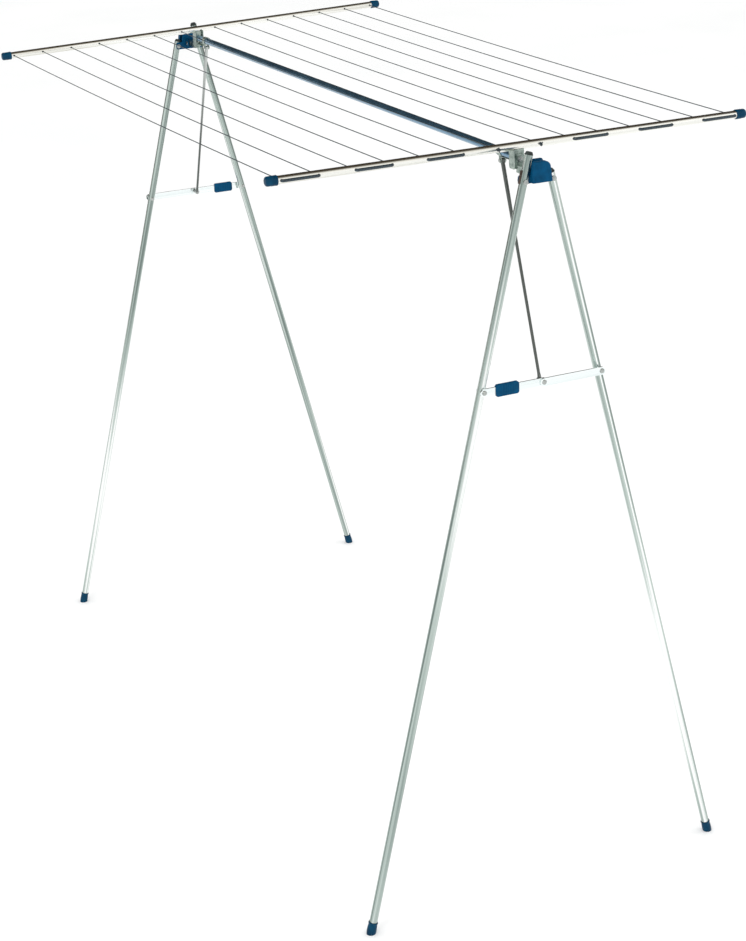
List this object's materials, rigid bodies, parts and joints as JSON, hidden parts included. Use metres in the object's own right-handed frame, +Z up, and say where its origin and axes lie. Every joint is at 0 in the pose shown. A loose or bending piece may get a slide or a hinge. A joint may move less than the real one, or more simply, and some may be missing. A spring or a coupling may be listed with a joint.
{
  "type": "clothes drying rack",
  "caption": "Free-standing clothes drying rack: two cross arms laced with line on a central beam, carried by two folding A-frame trestles.",
  "frame": {"origin": "on the floor under the middle of the beam", "axes": "+Y along the beam from the front trestle to the rear one, +X along the arms, +Z up"},
  "size_m": [1.03, 1.8376, 1.5569],
  "materials": {
    "blue_enamel": "glossy blue stoved enamel on steel tube",
    "anodised_aluminium": "drawn and anodised, satin",
    "zinc_plated_steel": "zinc plated",
    "blue_moulding": "moulded blue plastic, semi-gloss",
    "dark_moulding": "moulded dark grey plastic",
    "line_cord": "plastic coated textile line"
  },
  "bodies": {
    "top_frame": {"beam_tube": "blue_enamel", "front_arm": "anodised_aluminium", "rear_arm": "anodised_aluminium", "front_arm_cap_left": "blue_moulding", "front_arm_cap_right": "blue_moulding", "rear_arm_cap_left": "blue_moulding", "rear_arm_cap_right": "blue_moulding", "left_cord": "line_cord", "right_cord": "line_cord", "front_hanger": "zinc_plated_steel", "front_saddle": "zinc_plated_steel", "front_arm_bolt": "zinc_plated_steel", "front_hinge_tongue": "zinc_plated_steel", "front_tongue_rivet": "zinc_plated_steel", "front_rod_lug": "zinc_plated_steel", "front_rod_lug_pin": "zinc_plated_steel", "rear_hanger": "zinc_plated_steel", "rear_saddle": "zinc_plated_steel", "rear_arm_bolt": "zinc_plated_steel", "rear_hinge_tongue": "zinc_plated_steel", "rear_tongue_rivet": "zinc_plated_steel", "rear_rod_lug": "zinc_plated_steel", "rear_rod_lug_pin": "zinc_plated_steel"},
    "front_head": {"front_head_plate": "blue_moulding", "front_hinge_pin": "zinc_plated_steel", "front_hood": "blue_moulding", "front_leg_pivot_pins": "zinc_plated_steel"},
    "front_long_leg": {"front_long_leg": "anodised_aluminium", "front_long_leg_plug": "dark_moulding", "front_long_leg_foot": "blue_moulding", "front_long_leg_rivet": "zinc_plated_steel", "front_bumper": "dark_moulding"},
    "front_short_leg": {"front_short_leg": "anodised_aluminium", "front_short_leg_plug": "dark_moulding", "front_short_leg_foot": "blue_moulding", "front_short_leg_rivet": "zinc_plated_steel"},
    "front_long_link": {"front_long_link": "anodised_aluminium"},
    "front_short_link": {"front_short_link": "anodised_aluminium", "front_knee_rivet": "zinc_plated_steel"},
    "front_sleeve": {"front_lock_sleeve": "blue_moulding"},
    "front_rod": {"front_brace_rod": "zinc_plated_steel"},
    "rear_head": {"rear_head_plate": "blue_moulding", "rear_hinge_pin": "zinc_plated_steel", "rear_hood": "blue_moulding", "rear_leg_pivot_pins": "zinc_plated_steel"},
    "rear_long_leg": {"rear_long_leg": "anodised_aluminium", "rear_long_leg_plug": "dark_moulding", "rear_long_leg_foot": "blue_moulding", "rear_long_leg_rivet": "zinc_plated_steel", "rear_bumper": "dark_moulding"},
    "rear_short_leg": {"rear_short_leg": "anodised_aluminium", "rear_short_leg_plug": "dark_moulding", "rear_short_leg_foot": "blue_moulding", "rear_short_leg_rivet": "zinc_plated_steel"},
    "rear_long_link": {"rear_long_link": "anodised_aluminium"},
    "rear_short_link": {"rear_short_link": "anodised_aluminium", "rear_knee_rivet": "zinc_plated_steel"},
    "rear_sleeve": {"rear_lock_sleeve": "blue_moulding"},
    "rear_rod": {"rear_brace_rod": "zinc_plated_steel"}
  },
  "joints": [
    {"name": "front_fold", "type": "hinge", "parent": "top_frame", "child": "front_head", "pos_m": [0, -0.878, 1.49], "axis": [1, 0, 0], "range_deg": [0, 91]},
    {"name": "front_long_leg_close", "type": "hinge", "parent": "front_head", "child": "front_long_leg", "pos_m": [-0.03024, -0.898, 1.482], "axis": [0, -1, 0], "range_deg": [0, 14.02]},
    {"name": "front_short_leg_close", "type": "hinge", "parent": "front_head", "child": "front_short_leg", "pos_m": [0.03024, -0.898, 1.482], "axis": [0, 1, 0], "range_deg": [0, 14.02]},
    {"name": "front_long_link_turn", "type": "hinge", "parent": "front_long_leg", "child": "front_long_link", "pos_m": [-0.12804, -0.9095, 1.09], "axis": [0, 1, 0], "range_deg": [0, 90.4]},
    {"name": "front_short_link_turn", "type": "hinge", "parent": "front_short_leg", "child": "front_short_link", "pos_m": [0.12804, -0.9128, 1.09], "axis": [0, -1, 0], "range_deg": [0, 90.4]},
    {"name": "front_rod_swing", "type": "hinge", "parent": "top_frame", "child": "front_rod", "pos_m": [0, -0.76514, 1.493], "axis": [1, 0, 0], "range_deg": [0, 106.48]},
    {"name": "front_sleeve_slide", "type": "slide", "parent": "front_long_link", "child": "front_sleeve", "axis": [1, 0, 0], "range_m": [-0.01, 0.008]},
    {"name": "rear_fold", "type": "hinge", "parent": "top_frame", "child": "rear_head", "pos_m": [0, 0.878, 1.49], "axis": [-1, 0, 0], "range_deg": [0, 87.5]},
    {"name": "rear_long_leg_close", "type": "hinge", "parent": "rear_head", "child": "rear_long_leg", "pos_m": [0.03024, 0.898, 1.482], "axis": [0, 1, 0], "range_deg": [0, 14.02]},
    {"name": "rear_short_leg_close", "type": "hinge", "parent": "rear_head", "child": "rear_short_leg", "pos_m": [-0.03024, 0.898, 1.482], "axis": [0, -1, 0], "range_deg": [0, 14.02]},
    {"name": "rear_long_link_turn", "type": "hinge", "parent": "rear_long_leg", "child": "rear_long_link", "pos_m": [0.12804, 0.9095, 1.09], "axis": [0, -1, 0], "range_deg": [0, 90.4]},
    {"name": "rear_short_link_turn", "type": "hinge", "parent": "rear_short_leg", "child": "rear_short_link", "pos_m": [-0.12804, 0.9128, 1.09], "axis": [0, 1, 0], "range_deg": [0, 90.4]},
    {"name": "rear_rod_swing", "type": "hinge", "parent": "top_frame", "child": "rear_rod", "pos_m": [0, 0.76514, 1.493], "axis": [-1, 0, 0], "range_deg": [0, 102.04]},
    {"name": "rear_sleeve_slide", "type": "slide", "parent": "rear_long_link", "child": "rear_sleeve", "axis": [-1, 0, 0], "range_m": [-0.01, 0.008]}
  ],
  "couplings": [
    {"joint": "front_long_leg_close", "follows": "front_fold", "ratio": 0.15395},
    {"joint": "front_short_leg_close", "follows": "front_fold", "ratio": 0.15395},
    {"joint": "front_long_link_turn", "follows": "front_fold", "ratio": 0.99284},
    {"joint": "front_short_link_turn", "follows": "front_fold", "ratio": 0.99284},
    {"joint": "front_rod_swing", "follows": "front_fold", "ratio": 1.1695},
    {"joint": "rear_long_leg_close", "follows": "rear_fold", "ratio": 0.16011},
    {"joint": "rear_short_leg_close", "follows": "rear_fold", "ratio": 0.16011},
    {"joint": "rear_long_link_turn", "follows": "rear_fold", "ratio": 1.0326},
    {"joint": "rear_short_link_turn", "follows": "rear_fold", "ratio": 1.0326},
    {"joint": "rear_rod_swing", "follows": "rear_fold", "ratio": 1.1656}
  ]
}
